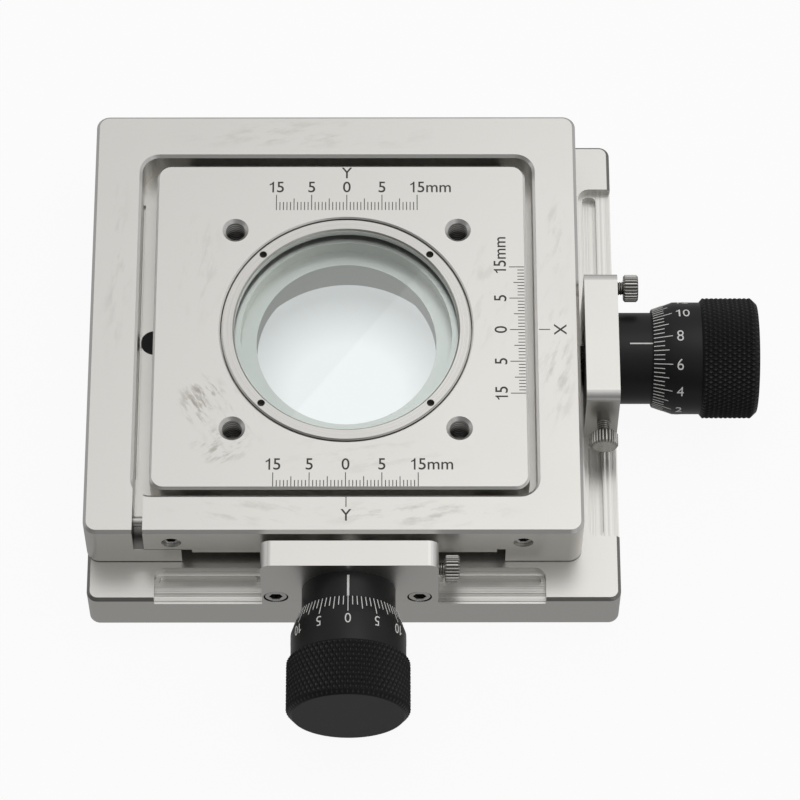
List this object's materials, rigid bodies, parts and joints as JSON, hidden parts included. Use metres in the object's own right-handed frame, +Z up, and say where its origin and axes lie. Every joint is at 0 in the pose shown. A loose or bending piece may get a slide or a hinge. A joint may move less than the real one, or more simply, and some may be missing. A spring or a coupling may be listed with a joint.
{
  "type": "mechanical microscope XY stage",
  "caption": "Square two-axis microscope stage with a glazed round aperture, engraved scales and two black micrometer heads, at the front and the right.",
  "frame": {"origin": "on the aperture's axis at the underside of the base plate, slides at rest", "axes": "+Z up out of the centre plate, +X to the right towards the X micrometer, +Y to the back, away from the Y micrometer"},
  "size_m": [0.1418, 0.1379, 0.0292],
  "materials": {
    "satin_nickel": "satin nickel plate, finely milled",
    "bright_steel": "turned bright steel",
    "black_anodised": "black anodised, satin, knurled grip",
    "black_oxide": "black oxide",
    "clear_glass": "polished clear glass"
  },
  "bodies": {
    "base": {"base_plate": "satin_nickel", "y_keeper_plate": "satin_nickel", "lug_cap_screws": "bright_steel", "x_sleeve": "black_anodised", "y_sleeve": "black_anodised"},
    "x_slide": {"frame_plate": "satin_nickel", "x_guide_keys_front": "satin_nickel", "x_guide_key_rear": "satin_nickel", "x_key_screws": "black_oxide", "y_rail_left": "satin_nickel", "y_rail_right": "satin_nickel", "y_rail_screws": "black_oxide", "frame_stop_screws": "black_oxide", "ledge_screw": "black_oxide", "slit_clamp_screw": "black_oxide", "x_contact_button": "bright_steel"},
    "y_slide": {"centre_plate": "satin_nickel", "y_slide_block": "satin_nickel", "slide_block_screws": "black_oxide", "retaining_ring": "satin_nickel", "glass_window": "clear_glass", "y_push_pad": "bright_steel"},
    "x_spindle_body": {"x_spindle": "bright_steel"},
    "y_spindle_body": {"y_spindle": "bright_steel"},
    "x_thimble_body": {"x_thimble": "black_anodised"},
    "y_thimble_body": {"y_thimble": "black_anodised"},
    "x_lock": {"x_lock_screw": "bright_steel"},
    "y_lock": {"y_lock_screw": "bright_steel"},
    "slide_lock": {"x_clamp_screw": "bright_steel"}
  },
  "joints": [
    {"name": "x_slide_travel", "type": "slide", "parent": "base", "child": "x_slide", "axis": [1, 0, 0], "range_m": [-0.006, 0.0007]},
    {"name": "y_slide_travel", "type": "slide", "parent": "x_slide", "child": "y_slide", "axis": [0, 1, 0], "range_m": [-0.001, 0.0018]},
    {"name": "x_spindle_travel", "type": "slide", "parent": "base", "child": "x_spindle_body", "axis": [1, 0, 0], "range_m": [-0.006, 0.0007]},
    {"name": "y_spindle_travel", "type": "slide", "parent": "base", "child": "y_spindle_body", "axis": [0, 1, 0], "range_m": [-0.001, 0.0018]},
    {"name": "x_knob_turn", "type": "hinge", "parent": "x_spindle_body", "child": "x_thimble_body", "pos_m": [0.076, -0.0024, 0.01635], "axis": [1, 0, 0], "range_deg": [-4320, 504]},
    {"name": "y_knob_turn", "type": "hinge", "parent": "y_spindle_body", "child": "y_thimble_body", "pos_m": [0.00066, -0.0735, 0.01635], "axis": [0, 1, 0], "range_deg": [-720, 1296]},
    {"name": "x_lock_turn", "type": "hinge", "parent": "base", "child": "x_lock", "pos_m": [0.0546, -0.018, 0.0168], "axis": [0, -1, 0], "range_deg": [-180, 180]},
    {"name": "y_lock_turn", "type": "hinge", "parent": "base", "child": "y_lock", "pos_m": [0.0193, -0.053, 0.0189], "axis": [1, 0, 0], "range_deg": [-180, 180]},
    {"name": "slide_lock_turn", "type": "hinge", "parent": "base", "child": "slide_lock", "pos_m": [0.0576, 0.01, 0.0248], "axis": [1, 0, 0], "range_deg": [-180, 180]}
  ],
  "couplings": [
    {"joint": "x_knob_turn", "follows": "x_slide_travel", "rad_per_m": 12566},
    {"joint": "x_spindle_travel", "follows": "x_slide_travel", "ratio": 1},
    {"joint": "y_knob_turn", "follows": "y_slide_travel", "rad_per_m": 12566},
    {"joint": "y_spindle_travel", "follows": "y_slide_travel", "ratio": 1}
  ]
}
